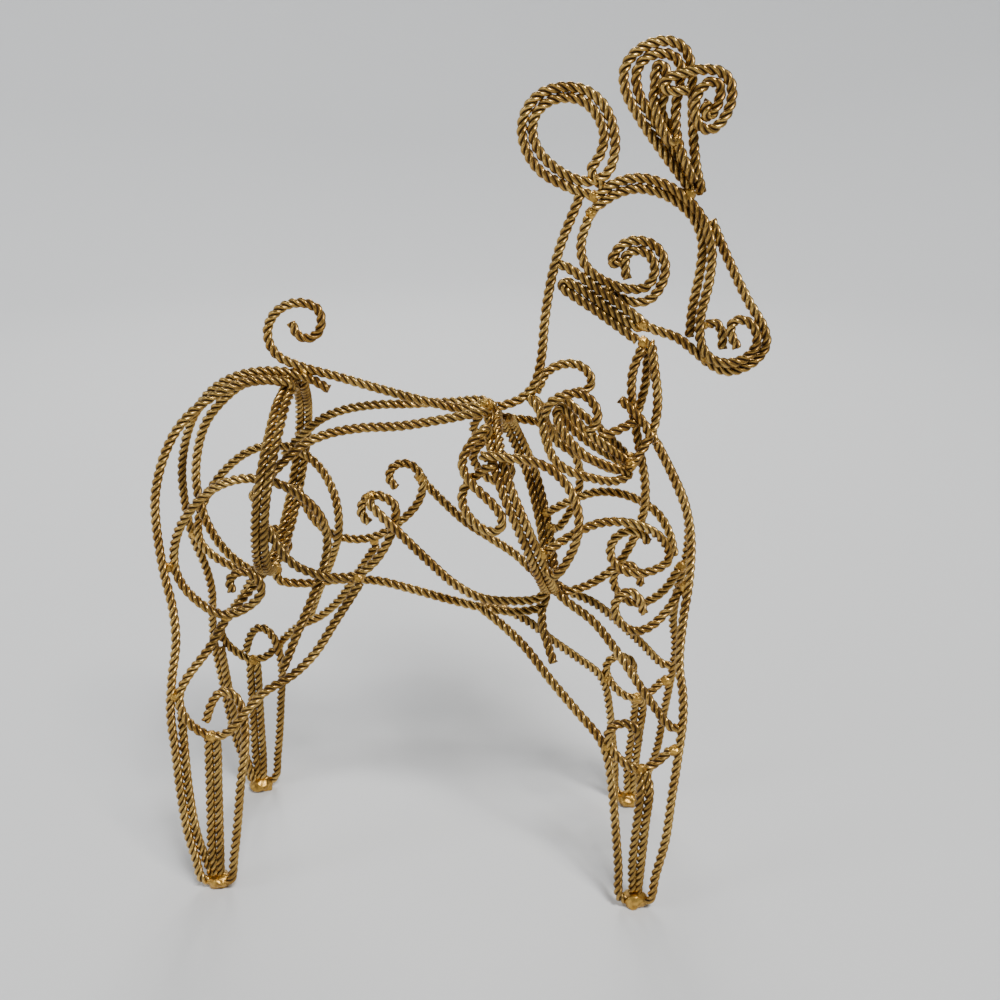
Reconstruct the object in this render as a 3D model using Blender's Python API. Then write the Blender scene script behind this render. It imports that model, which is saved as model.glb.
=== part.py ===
"""Metal reindeer figure bent from brass-coloured twisted wire.

Every solid is one bent wire: a closed six-sided tube that follows its centreline. Routes are side
views, drawn in millimetres for a figure of ROUTE_HEIGHT: x runs toward the nose, z up from the
floor, and the third number is the distance out from the middle plane.
"""

from dataclasses import dataclass
from math import atan2, cos, pi, radians, sin, sqrt

import bmesh
import bpy
import numpy as np
from mathutils import Vector

# Driving dimensions, millimetres
FIGURE_HEIGHT = 400.0
WIRE_DIAMETER = 3.8
WIRE_GAP = 0.2
FOOT_RADIUS = 5.2
FOOT_HEIGHT = 6.0
FOOT_SPREAD = 45.7
FOOT_X = 104.3

# Height and foot places that the routes are drawn for. The legs carry a change of foot place,
# fully by LEG_LOW and not at all above LEG_TOP.
ROUTE_HEIGHT = 400.0
ROUTE_FOOT_SPREAD = 45.7
ROUTE_FOOT_X = 104.3
LEG_TOP = 120.0
LEG_LOW = 20.0

# Foot shape: its sides, and its outline as shares of the height and radius
FOOT_SIDES = 8
FOOT_LEVELS = ((0.0, 0.86), (0.3, 1.0), (0.65, 0.86), (1.0, 0.5))

# The pair of wires that stands in each foot: spacing, height inside the foot, and how far the pair
# leans forward and inward by its top
SHIN_GAP = 0.3
SHIN_PITCH = WIRE_DIAMETER + SHIN_GAP
SHIN_END_HEIGHT = 3.0
SHIN_LOW_HEIGHT = 16.0
SHIN_LOW_INSET = 2.8
SHIN_TOP_INSET = 7.5
HIND_SHIN_TOP = 79.0
HIND_SHIN_LEAN = 2.3
FORE_SHIN_TOP = 65.0
FORE_SHIN_LEAN = 2.8

# How the centrelines are cut into straight runs
TUBE_SIDES = 6
CURL_STEP = 40
CHORD_ERROR = 0.54
LONGEST_RUN = 22.0
SHORTEST_RUN = 3.2
FINE_STEP = 0.8
BEND_WINDOW = 9

# How the wires are laid clear of each other
SETTLE_ROUNDS = 160
PAIRING_ROUNDS = 8
NEAR_REACH = 2.2 * WIRE_DIAMETER
CROSSED = 0.3
OVERSHOOT = 1.02
NEAR_END_SHARE = 0.35
SHARING = 0.8
SPREAD_REACH = 0.35
SMOOTHING = 0.04
FLOOR_CLEARANCE = 0.6

HOOP_PITCH = WIRE_DIAMETER + WIRE_GAP
ROUTE_SCALE = FIGURE_HEIGHT / ROUTE_HEIGHT


# Wires of one side, from the tail forward. The other side mirrors them.
SIDE_ROUTES = {
    "rump_wire": [
        (-61, 252, 6), (-80, 253, 7), (-94, 247, 9), (-106, 239, 12), (-115, 228, 15), (-121, 214, 18),
        (-125, 196, 20), (-124.5, 176, 21), (-122.5, 158, 23), (-118.5, 140, 27), (-119, 121, 31),
        (-122, 103, 35), (-121, 80, 38), (-119, 50, 41.5), (-115.5, 22, 44), (-112, 11, 45),
        (-111.8, 6, 45.4),
    ],
    "haunch_scroll": [
        (-67, 117, 30), (-62, 130, 26), (-55.5, 145, 23), (-49.5, 160, 18), (-46, 174, 14),
        (-47, 188, 15), (-54, 201, 20), (-66, 210, 24), (-80, 212, 25), (-94, 207, 24),
        (-105.5, 197, 23), (-114, 185, 21), (-118.5, 172, 19), (-118.5, 162, 19), (-114, 154, 21),
        (-107, 148, 23), (-99, 144, 25), (-90, 144.5, 27), ("curl", (-84, 159), 10, 6.2, 320),
    ],
    "stifle_wire": [
        (-29, 161, 23), (-37, 149, 25), (-44, 137, 27), (-53, 124, 30), (-62, 115.5, 32),
        (-71, 110, 33), (-80, 103.5, 35), (-87.5, 92.5, 38), (-95, 86, 38.5), (-104, 85, 38.5),
        (-112, 90, 38), (-117, 98, 36), (-116.5, 107, 34), (-109, 118, 31), (-101, 129, 28),
        (-94.5, 140, 25), (-88, 147, 16), (-82, 153.5, 6),
    ],
    "hock_wire": [
        (-105, 91, 36), (-102, 100, 35), (-96, 106.5, 34), (-90, 104, 35), (-86.5, 96, 36),
        (-86, 86, 38), (-87.5, 70, 40), (-90.5, 50, 42), (-93, 26, 44), (-96.5, 11, 45),
        (-96.8, 6, 45.4),
    ],
    "heel_wire": [
        (-117.5, 94, 34), (-117, 75, 36.5), (-116, 50, 39.5), (-113.5, 27, 42), (-109.5, 11, 41.5),
    ],
    "belly_scroll": [
        (-71, 189, 31), (-68, 181, 30), (-59, 170, 26), (-45, 163, 22), (-32, 163.5, 21),
        (-22, 171, 21), (-13, 186, 22), ("curl", (-20.5, 195.5), 10, 6, 285),
    ],
    "flank_brace": [
        (-22, 202, 23), (-15, 192, 22.5), (-7, 183, 22), (3, 172, 20), (13, 160, 17), (27, 150, 13),
        (41, 147, 9), (54, 147, 5),
    ],
    "back_side_wire": [
        (-75, 206, 29), (-68, 214, 25.5), (-59, 223, 22), (-48, 230, 20), (-33, 234.5, 19),
        (-8, 236.5, 18), (12, 239, 14), (28, 241, 9),
    ],
    "foreleg_wire": [
        (26, 140, 3), (35, 136, 6), (43, 130, 10.5), (50, 123, 15), (60, 112, 20), (70, 102, 25),
        (80, 92, 29.5), (87, 84, 32.5), (90.5, 70, 35), (93, 50, 38), (95, 28, 41.5), (97, 11, 44.5),
        (97, 6, 45.2),
    ],
    "breast_wire": [
        (105, 228, 5), (111, 217, 5), (117, 206, 5), (121.5, 196, 6), (124.5, 184, 7), (125, 172, 10),
        (124.5, 160, 13), (122.5, 146, 18), (121.5, 130, 22), (121.5, 118, 25.5), (124, 105, 29),
        (122.5, 93, 32), (121.5, 80, 34), (119.5, 55, 38), (117, 30, 41.5), (112, 11, 45),
        (111.8, 6, 45.4),
    ],
    "shoulder_brace": [
        (68, 146, 6), (77, 141, 9), (85, 134, 13), (92, 126, 17), (98, 119, 21), (104, 111, 25),
        (110, 104, 28), (118.6, 94, 31),
    ],
    "knee_scroll": [
        (119.5, 83, 33.5), (112, 75, 33.5), (103.5, 72, 33.5), (95, 76, 33.5), (89.5, 84, 33.5),
        ("curl", (96.5, 89), 8.5, 6.8, -230),
    ],
    "shoulder_scroll": [
        (30, 236, 18), (24.5, 231, 21), (20.5, 224, 25), (22, 215.5, 28), (31, 209, 33), (38, 200, 34),
        (36.5, 193.5, 34), (29, 193.5, 32), (21, 202, 30), (20, 211, 26), (26, 219, 26), (34, 223, 29),
    ],
    "shoulder_bow": [
        (29.5, 226, 29), (39, 226, 31), (51, 225, 30), (61, 220, 29), (69, 210, 29), (72.5, 198, 30),
        (71, 187, 31), (67, 177, 30), (62, 170, 29),
    ],
    "breast_scroll": [
        (57.5, 181, 28), (66.5, 187, 23.5), (76, 191, 20), (86, 192.5, 18), (96, 191.5, 16),
        (106, 187, 13.5), (113, 179, 10), (115, 171, 9), (109, 166.5, 11),
        ("curl", (98, 176.5), 13, 8, -290),
    ],
    "chest_curl": [
        (121.5, 158, 10.3), (118, 150, 11), (111, 141, 13), (104, 136.5, 15), (97, 137.5, 16),
        (91.5, 143.5, 16), (90.5, 151, 16), (96, 157, 16), (101.5, 153.5, 16), (104, 146, 16),
    ],
    "mane_curl": [
        (55.8, 240, 9), (57.5, 245.5, 11), (61.6, 249, 12), (66.8, 251.6, 13), (72.6, 251.3, 13),
        (77.1, 247.8, 13), (79.6, 242.2, 13), (78.6, 236.7, 13), (75.2, 233.5, 13),
    ],
    "collar_wire": [
        (53.5, 240.5, 4.5), (54.5, 235, 8), (57, 228.5, 11), (60.5, 221, 14), (67, 216, 15),
        (75, 213, 14), (83, 210, 11), (91, 209, 7), (95.5, 212, 4.5), (89, 214.5, 7.5), (82, 218, 10),
        (75, 222, 12), (69, 227, 11), (64.5, 233, 9.5), (61, 240, 7.5), (63.5, 243.5, 7),
        (68, 239.5, 8.5), (74, 234, 10.5), (81, 228.5, 10), (88, 223, 8), (94, 217.5, 4.5),
    ],
}

# Where the left side differs from the right
LEFT_ROUTES = {
    "mane_curl": [
        (51.8, 248, 4.5), (54.4, 253.8, 7), (59.1, 257.7, 9), (65.7, 259.4, 10), (71.7, 258.3, 10),
        (75.8, 254.1, 10), (76.4, 249.7, 10), (73.8, 246.6, 10), (69, 245.8, 10),
    ],
    "belly_scroll": [
        (-71, 189, 31), (-68, 181, 30), (-59, 170, 26), (-45, 164.5, 22), (-30, 166, 21),
        (-16, 175, 21), (-6, 187, 22), ("curl", (-14.5, 197), 10, 6, 285),
    ],
    "flank_brace": [
        (-8, 197, 24), (-2, 192, 24), (8, 183, 22), (19, 174, 19), (32, 168, 15), (44, 162, 10),
        (54, 154, 6),
    ],
    "breast_scroll": [
        (57, 180, 25), (66, 187, 22), (79, 193, 19.5), (91, 194, 17), (101, 191.5, 14.5),
        (110, 186, 12), (116, 177, 9), (119, 166, 8),
    ],
}

# Wires in the middle plane, with their distance to the figure's left as the third number
CENTRE_ROUTES = {
    "tail_wire": [
        (-60, 279, 0), (-57, 273, 0), (-51, 272, 0), (-46.5, 277, 0), (-47.5, 285, 0), (-55, 288, 0),
        (-65, 285, 0), (-71, 276, 0), (-69.5, 266, 0), (-62, 260, 0), (-48, 256, 0), (-30, 251, 0),
        (-11, 246, 0), (8, 241.5, 0), (20, 240, 0), (29, 242.5, 0),
    ],
    "belly_line": [
        (-74, 150.5, 0), (-61, 149, 0), (-44, 151.5, 0), (-25, 151.5, 0), (-8, 147.5, 0), (10, 142, 0),
        (31, 137.5, 0), (46, 137.5, 0), (56, 141, 0),
    ],
    "rump_inner_wire": [
        (-70, 251.6, 0), (-85, 249.3, 0), (-96, 240, 0), (-104, 230, 0), (-109.5, 214, 0),
        (-111, 199, 0), (-108, 181, 0), (-101, 167, 0), (-92, 158, 0), (-85, 154.5, 0),
    ],
    "neck_back": [
        (34.5, 241, 0), (39.5, 242.4, 0), (44.5, 245.2, 0), (49, 249.3, 0), (52, 255.5, 0),
        (53.8, 265, 0), (55.5, 280, 0), (56.2, 295, 0), (57.5, 308, 0), (61, 321.5, 0), (68, 332, 0),
    ],
    "throat_wire": [
        (60.5, 306, 0), (70, 301.5, 0), (82, 294, 0), (92, 286.5, 0), (97, 283, 0), (98.5, 280, 0),
        (95.5, 279, 0), (91, 282, 0), (81, 289, 0), (70, 297, 0), (64.5, 299.5, 0), (62.5, 297, 0),
        (65, 294.5, 0), (70, 292, 0), (81, 284.5, 0), (91, 277, 0), (96.5, 273, 0),
    ],
    "jaw_wire": [
        (125, 326, 0), (133, 311, 0), (141, 296, 0), (150, 283, 0), (153.5, 273, 0), (149, 264.5, 0),
        (140, 260, 0), (131, 261, 0), (123, 267, 0), (115, 275, 0), (104, 278, 0),
    ],
    "face_wire_upper": [
        (75, 336, 0), (82, 341, 0), (92, 343.5, 0), (102, 342, 0), (112, 338, 0), (120, 332, -0.5),
        (125, 323, -1.5), (127.5, 312, -2.2), (125.8, 295, -2.2), (123.3, 279, -2.2),
        (125.5, 269.5, -2.2), (132, 265, -2.2), (140, 264.5, -2.2), (146.5, 268, -2.2),
        (149, 275, -2.2), (145.5, 282, -2.2), (139.5, 283.5, -2.2), (137, 279.5, -2.2),
        (140.5, 271, -2.2),
    ],
    "face_wire_lower": [
        (75, 331, 0), (84, 337.5, 0), (92, 339.5, 0), (101, 338.5, 0), (110, 334.5, 0), (118, 328, 0.5),
        (122.5, 319, 1.5), (123, 308, 2.2), (121, 293, 2.2), (119, 281, 2.2), (119.5, 274.5, 2.2),
    ],
    "nostril_scroll": [
        (126.8, 280.5, 1), (131, 280.8, 2.2), (134, 276.5, 2), (134.5, 269.5, 1.5),
    ],
    "rump_top_wire": [
        (-112, 231, 4), (-106, 239.5, 2.5), (-98, 247.5, 1), (-87, 253.5, 0), (-75, 256, 0),
        (-63, 256, 0), (-52, 253.5, -1), (-43.5, 249, -3),
    ],
    "eye_scroll": [
        (73.5, 327, 0), (70, 316, 0), (73, 305.5, 0), (82, 299.5, 0), (91, 295.5, 0), (99, 297, 0),
        (103, 304.5, 0), (99, 312, 0), (92, 312.5, 0), (88.5, 306, 0), (90.5, 299.5, 0),
    ],
    "cheek_wire": [
        (82, 293.5, 4.1), (90, 289, 0), (99, 290, 0), (105.5, 297, 0), (107.3, 306, 0),
        (103.5, 314, 0), (96, 317, 0), (88, 315, 0), (84, 307.5, 0),
    ],
    "chest_wire": [
        (98.5, 270, 0), (94.5, 259, 0), (95, 246, 0), (98, 232, 0), (100, 218, 0), (103, 203, 0),
        (102.5, 190, 0), (98, 176, 0), (92, 164.5, 0), (84, 157, 0), (74, 150.5, 0), (66, 148, 0),
    ],
    "neck_front": [
        (97, 234, 4.1), (99.5, 243, 4.1), (101.5, 256, 4.1), (101.5, 268, 3), (102.5, 272, 0),
        (103.5, 268, -2.8), (105, 257, -3), (107, 243, -3), (105.5, 231, -4), (100, 221, -6),
        (94, 214.5, -8),
    ],
    "antler_loop": [
        (117, 335.8, 0), (112.3, 341.6, 0), (107.7, 348.8, 0), (103.2, 355.5, 0), (98, 362.8, 0),
        (92.9, 369.3, 0), (88.6, 375.8, 0), (86.6, 383, 0), (87.6, 389.3, 0), (92, 395, 0),
        (98.5, 397.8, 0), (105.5, 397.7, 0), (111.6, 394.6, 0), (115.4, 389.5, 0), (115.6, 383.5, 0),
        (113.4, 378, 0), (112.4, 371, 0), (113.2, 362.5, 0), (115.4, 353.8, 0), (118.4, 346, 0),
        (120.5, 341, 0), (121.3, 337.5, 2), (118.4, 339.5, 3.5), (114.2, 345.5, 2.5),
        (110.8, 351, 0), (106.5, 357.7, 0), (101.2, 365.2, 0), (96.2, 371.8, 0), (92, 378.2, 0),
        (90.6, 383.5, 0), (91.4, 388.2, 0), (94.6, 392, 0), (99.5, 393.8, 0), (105, 393.6, 0),
        (109.5, 391.3, 0), (111.6, 387.5, 0), (111.3, 383.8, 0), (109.3, 378.8, 0), (108.3, 371, 0),
        (109.1, 362, -1.5), (110.8, 355, -4), (113.9, 348.5, -4.2), (117.5, 342.5, -4.2),
    ],
    "antler_post": [
        (107, 358.5, -4.2), (103, 364.5, -4.2), (98.8, 370.8, -3), (98.3, 376, -1), (99.7, 381, 0),
        (99.4, 386, 0), (101.6, 389.6, 0), (103.8, 386, 0), (103.9, 380.5, 0), (103.2, 376, 0),
        (102.2, 372, 1), (104.2, 367.5, 2), (107, 363.3, 2.5),
    ],
    "antler_side": [
        (113, 379.3, -4.3), (108, 378.6, -4.3), (104, 379.3, -4.3), (102.2, 381.3, -4.3),
        (104, 383.3, -4.3), (108.6, 383.8, -4.3), (113.3, 384.6, -4.3), (118, 386, -3.5),
        (123, 386.9, -2.5), (127.5, 385.3, -2), (130.8, 380.5, -2), (131, 375, -2), (128.7, 368.5, -2),
        (124.1, 363.8, -2), (118.6, 363.6, -2.5), (115, 367.5, -3.5), (115, 373, -4.2),
        (117.6, 379.5, -4.2), (122.5, 382.4, -3.5), (126.6, 380, -2), (126.9, 374.5, -2),
        (124, 369, -2), (120, 368.6, -3), (118.9, 373, -4), (121.3, 376.8, -3.5), (123.2, 374.5, -3),
    ],
}

# The ear, one wire wound twice: the outline that its turns follow, clockwise from the foot
EAR_LOOP = [
    (74, 339), (65, 340.5), (55.5, 345.5), (48, 353.5), (45, 363), (47.5, 372.5), (54, 378.3),
    (63, 380.3), (73, 378.3), (80.7, 371), (85, 359.5), (84, 348.5), (79, 341),
]

HIP_HOOP = [
    (-60, 249, 0), (-61.5, 245, 12), (-64, 231, 25), (-67, 215, 33.5), (-70, 199, 35), (-72.5, 182, 31),
    (-75.5, 165, 19), (-78, 156, 0),
]
SHOULDER_HOOP = [
    (34, 236, 0), (35, 232, 13), (37.5, 222, 26), (42.5, 209, 33), (48, 196, 33.5), (53, 181, 30),
    (57.5, 163, 19), (60, 149, 0),
]


def curl_points(last: tuple, centre: tuple, radius: float, end_radius: float, turn: float) -> list[tuple]:
    """Points of a flat scroll around centre, carrying on from the wire's last point.

    Args:
        last: The x, z and half-width where the scroll starts.
        centre: The x, z of the scroll's middle.
        radius: Its radius soon after the start.
        end_radius: Its radius at the cut end.
        turn: Degrees turned, positive from +x toward +z.
    """
    start = atan2(last[1] - centre[1], last[0] - centre[0])
    steps = max(4, round(abs(turn) / CURL_STEP))
    points = []
    for index in range(1, steps + 1):
        share = index / steps
        angle = start + radians(turn) * share
        reach = radius + (end_radius - radius) * share
        points.append((centre[0] + reach * cos(angle), centre[1] + reach * sin(angle), last[2]))
    return points


def side_points(route: list) -> list[tuple]:
    """The route as x, y, z points on the figure's left side, with its scrolls worked out."""
    flat = []
    for item in route:
        if item[0] == "curl":
            flat += curl_points(flat[-1], *item[1:])
        else:
            flat.append(item)
    return [(x, out, z) for x, z, out in flat]


def smooth_curve(points: list[tuple]) -> np.ndarray:
    """Fine points along the centripetal Catmull-Rom curve through the given ones."""
    knots = [np.array(point, float) for point in points]
    knots = [2 * knots[0] - knots[1], *knots, 2 * knots[-1] - knots[-2]]
    fine = []
    for before, start, end, after in zip(knots, knots[1:], knots[2:], knots[3:]):
        spans = (start - before, end - start, after - end)
        gaps = [sqrt(float(np.linalg.norm(span))) for span in spans]
        middle = (end - start) / gaps[1]
        leave = ((start - before) / gaps[0] - (end - before) / (gaps[0] + gaps[1]) + middle) * gaps[1]
        arrive = (middle - (after - start) / (gaps[1] + gaps[2]) + (after - end) / gaps[2]) * gaps[1]
        count = max(2, int(np.linalg.norm(end - start) / FINE_STEP))
        for t in np.linspace(0, 1, count, endpoint=False):
            fine.append(
                (2 * t**3 - 3 * t**2 + 1) * start + (t**3 - 2 * t**2 + t) * leave
                + (3 * t**2 - 2 * t**3) * end + (t**3 - t**2) * arrive
            )
    fine.append(knots[-2])
    return np.array(fine)


def straight_runs(fine: np.ndarray) -> np.ndarray:
    """Thin a fine curve to the corners of straight runs, short where the wire bends tightly."""
    steps = np.linalg.norm(np.diff(fine, axis=0), axis=1)
    along = np.concatenate([[0.0], np.cumsum(steps)])
    directions = np.diff(fine, axis=0) / steps[:, None]
    turns = np.linalg.norm(np.diff(directions, axis=0), axis=1)
    margin = BEND_WINDOW // 2
    padded = np.pad(turns / steps[1:], margin, mode="edge")
    bend = np.convolve(padded, np.full(BEND_WINDOW, 1 / BEND_WINDOW), mode="same")[margin - 1:1 - margin]
    run = np.clip(np.sqrt(8 * CHORD_ERROR / np.maximum(bend, 1e-6)), SHORTEST_RUN, LONGEST_RUN)
    density = np.interp(along, along[: len(run)], 1 / run)
    total = np.concatenate([[0.0], np.cumsum((density[1:] + density[:-1]) / 2 * steps)])
    count = max(2, int(np.ceil(total[-1])))
    marks = np.interp(np.linspace(0, total[-1], count + 1), total, along)
    return np.column_stack([np.interp(marks, along, fine[:, axis]) for axis in range(3)])


def hoop_curve(route: list[tuple]) -> np.ndarray:
    """One wire wound twice round the body, its two turns side by side along x."""
    half = smooth_curve([(x, -out, z) for x, z, out in route])
    other = half[::-1] * (1, -1, 1)
    loop = np.vstack([half, other[1:]])
    twice = np.vstack([loop, loop[1:]])
    steps = np.linalg.norm(np.diff(twice, axis=0), axis=1)
    along = np.concatenate([[0.0], np.cumsum(steps)])
    tail = WIRE_DIAMETER / along[-1]
    share = along / along[-1]
    twice[:, 0] += HOOP_PITCH * (2 * share - 1)
    keep = (share > tail) & (share < 1 - tail)
    return twice[keep]


def wound_loop(outline: list[tuple]) -> np.ndarray:
    """One wire wound twice round a clockwise outline in the middle plane, spiralling inward."""
    twice = smooth_curve([(x, 0, z) for x, z in outline] * 2)
    heading = np.gradient(twice, axis=0)
    heading /= np.linalg.norm(heading, axis=1)[:, None]
    inward = np.cross(heading, (0, -1, 0))
    turns_in = np.linspace(-0.5, 1.5, len(twice))
    return twice + inward * (HOOP_PITCH * turns_in)[:, None]


def shin_curve(foot_x: float, top: float, lean: float) -> np.ndarray:
    """One wire of the left pair in a foot, from its top down into the foot."""
    return smooth_curve([
        (foot_x + lean, ROUTE_FOOT_SPREAD - SHIN_TOP_INSET, top),
        (foot_x, ROUTE_FOOT_SPREAD - SHIN_LOW_INSET, SHIN_LOW_HEIGHT),
        (foot_x, ROUTE_FOOT_SPREAD, SHIN_END_HEIGHT),
    ])


def stanced(curve: np.ndarray, side: int) -> np.ndarray:
    """A left wire moved with its foot, and mirrored when side is -1."""
    share = np.clip((LEG_TOP - curve[:, 2]) / (LEG_TOP - LEG_LOW), 0, 1)
    forward = np.sign(curve[:, 0]) * (FOOT_X - ROUTE_FOOT_X) * share
    outward = (FOOT_SPREAD - ROUTE_FOOT_SPREAD) * share
    return (curve + np.column_stack([forward, outward, np.zeros(len(curve))])) * (1, side, 1)


@dataclass(frozen=True)
class Foot:
    """Where a foot stands, and the two wires that stand in it."""

    name: str
    x: float
    y: float
    wires: tuple[str, str]


class Wires:
    """All the figure's wires as corner points, moved until they clear each other."""

    def __init__(self) -> None:
        self.names: list[str] = []
        self.runs: list[np.ndarray] = []

    def add(self, name: str, curve: np.ndarray) -> None:
        """Add one wire from its fine centreline, at the figure's size."""
        self.names.append(name)
        self.runs.append(straight_runs(curve * ROUTE_SCALE))

    def middle_x(self) -> float:
        """Middle of the figure's length, which the origin lies under."""
        stations = np.vstack(self.runs)[:, 0]
        return float(stations.min() + stations.max()) / 2

    def segments(self) -> tuple[np.ndarray, np.ndarray, np.ndarray]:
        """Start index, wire index and distance along the wire of each straight run."""
        first, owner, along = [], [], []
        base = 0
        for index, run in enumerate(self.runs):
            lengths = np.linalg.norm(np.diff(run, axis=0), axis=1)
            first += list(range(base, base + len(lengths)))
            owner += [index] * len(lengths)
            along += list(np.concatenate([[0], np.cumsum(lengths)[:-1]]) + lengths / 2)
            base += len(run)
        return np.array(first), np.array(owner), np.array(along)

    def settle(self, feet: list[Foot]) -> None:
        """Move every wire clear of its neighbours, of the feet and of the floor."""
        points = np.vstack(self.runs)
        first, owner, along = self.segments()
        bounds = np.cumsum([0] + [len(run) for run in self.runs])
        wire_of_point = np.repeat(np.arange(len(self.runs)), np.diff(bounds))
        standing = []
        for foot in feet:
            own = [self.names.index(wire) for wire in foot.wires]
            standing.append(np.isin(wire_of_point, own))
        lowest = WIRE_DIAMETER / 2 + FLOOR_CLEARANCE
        for round_index in range(SETTLE_ROUNDS):
            if round_index % PAIRING_ROUNDS == 0:
                pairs = near_pairs(points, first, owner, along)
            push, count = separation(points, first, pairs)
            for foot, own in zip(feet, standing):
                foot_push, foot_count = foot_separation(points, own, foot)
                push += foot_push
                count += foot_count
            push /= np.maximum(count, 1)[:, None]
            for start, end in zip(bounds, bounds[1:]):
                push[start:end] = eased(push[start:end], points[start:end])
            points += push
            points[:, 2] = np.maximum(points[:, 2], lowest)
        self.runs = [points[start:end] for start, end in zip(bounds, bounds[1:])]


def near_pairs(points: np.ndarray, first: np.ndarray, owner: np.ndarray, along: np.ndarray) -> np.ndarray:
    """Pairs of straight runs that are near each other and aren't neighbours on one wire."""
    middle = (points[first] + points[first + 1]) / 2
    half = np.linalg.norm(points[first + 1] - points[first], axis=1) / 2
    left, right = np.triu_indices(len(first), 1)
    same = owner[left] == owner[right]
    reach = half[left] + half[right] + NEAR_REACH
    near = np.linalg.norm(middle[left] - middle[right], axis=1) < reach
    apart = ~same | (np.abs(along[left] - along[right]) > reach)
    keep = near & apart
    return np.column_stack([left[keep], right[keep]])


def closest(p: np.ndarray, q: np.ndarray, r: np.ndarray, s: np.ndarray) -> tuple[np.ndarray, np.ndarray]:
    """Shares along the runs p-q and r-s of their closest points."""
    u, v, w = q - p, s - r, p - r
    a, b, c = (u * u).sum(1), (u * v).sum(1), (v * v).sum(1)
    d, e = (u * w).sum(1), (v * w).sum(1)
    bottom = a * c - b * b
    share = np.where(bottom > 1e-6 * a * c, (b * e - c * d) / np.maximum(bottom, 1e-9), 0.5)
    share = np.clip(share, 0, 1)
    other = np.clip((b * share + e) / c, 0, 1)
    share = np.clip((b * other - d) / a, 0, 1)
    return share, other


def separation(points: np.ndarray, first: np.ndarray, pairs: np.ndarray) -> tuple[np.ndarray, np.ndarray]:
    """The push on each point that brings its near runs to the least distance."""
    left, right = pairs[:, 0], pairs[:, 1]
    p, q = points[first[left]], points[first[left] + 1]
    r, s = points[first[right]], points[first[right] + 1]
    share, other = closest(p, q, r, s)
    gap = (p + (q - p) * share[:, None]) - (r + (s - r) * other[:, None])
    distance = np.linalg.norm(gap, axis=1)
    least = WIRE_DIAMETER + WIRE_GAP
    short = distance < least
    across = np.cross(q - p, s - r)
    across *= np.where(across[:, 1:2] < 0, -1, 1) * np.sign(p[:, 1:2] + r[:, 1:2] + 1e-6)
    size = np.linalg.norm(across, axis=1)
    crossed = (distance < CROSSED) & (size > 1e-6)
    away = np.where(crossed[:, None], across, gap)
    away /= np.maximum(np.linalg.norm(away, axis=1), 1e-9)[:, None]
    amount = np.where(short, (least - distance) / 2 * OVERSHOOT, 0)
    push = np.zeros_like(points)
    count = np.zeros(len(points))
    for index, weight, sign in (
        (first[left], 1 - share, 1), (first[left] + 1, share, 1),
        (first[right], 1 - other, -1), (first[right] + 1, other, -1),
    ):
        near_end = NEAR_END_SHARE + (1 - NEAR_END_SHARE) * weight
        np.add.at(push, index, sign * away * (amount * near_end)[:, None])
        np.add.at(count, index, short * SHARING)
    return push, np.maximum(count, 1)


def foot_separation(points: np.ndarray, own: np.ndarray, foot: Foot) -> tuple[np.ndarray, np.ndarray]:
    """The push that keeps every wire but the foot's own clear of a foot."""
    gap = points - (foot.x, foot.y, 0)
    gap[:, 2] = np.maximum(points[:, 2] - FOOT_HEIGHT / 2, 0)
    distance = np.linalg.norm(gap, axis=1)
    least = FOOT_RADIUS + WIRE_DIAMETER / 2 + WIRE_GAP
    short = (distance < least) & ~own
    amount = np.where(short, least - distance, 0)
    return gap / np.maximum(distance, 1e-6)[:, None] * amount[:, None], short


def eased(push: np.ndarray, points: np.ndarray) -> np.ndarray:
    """Spread a wire's pushes along it, so that it bends gently and not in kinks."""
    if len(push) < 3:
        return push
    spread = push.copy()
    spread[1:-1] = push[1:-1] * (1 - SPREAD_REACH) + (push[:-2] + push[2:]) * SPREAD_REACH / 2
    second = np.zeros_like(points)
    second[1:-1] = (points[:-2] + points[2:]) / 2 - points[1:-1]
    drift = second.copy()
    drift[1:-1] -= (second[:-2] + second[2:]) / 2
    return spread + SMOOTHING * drift * (np.linalg.norm(push, axis=1) > 1e-4)[:, None]


def tube_mesh(name: str, path: np.ndarray, diameter: float) -> bpy.types.Mesh:
    """A closed tube in metres along a path in millimetres, its ring carried along without twist."""
    mesh = bpy.data.meshes.new(name)
    shape = bmesh.new()
    steps = [Vector(b - a).normalized() for a, b in zip(path, path[1:])]
    tangents = [steps[0]] + [(a + b).normalized() for a, b in zip(steps, steps[1:])] + [steps[-1]]
    side = tangents[0].orthogonal().normalized()
    rings = []
    for place, tangent in zip(path, tangents):
        side = (side - tangent * side.dot(tangent)).normalized()
        up = tangent.cross(side)
        ring = []
        for index in range(TUBE_SIDES):
            angle = 2 * pi * index / TUBE_SIDES
            offset = (side * cos(angle) + up * sin(angle)) * diameter / 2
            ring.append(shape.verts.new((Vector(place) + offset) / 1000))
        rings.append(ring)
    for lower, upper in zip(rings, rings[1:]):
        for index in range(TUBE_SIDES):
            following = (index + 1) % TUBE_SIDES
            shape.faces.new((lower[index], lower[following], upper[following], upper[index]))
    shape.faces.new(rings[0][::-1])
    shape.faces.new(rings[-1])
    bmesh.ops.recalc_face_normals(shape, faces=shape.faces)
    shape.to_mesh(mesh)
    shape.free()
    return mesh


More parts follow.
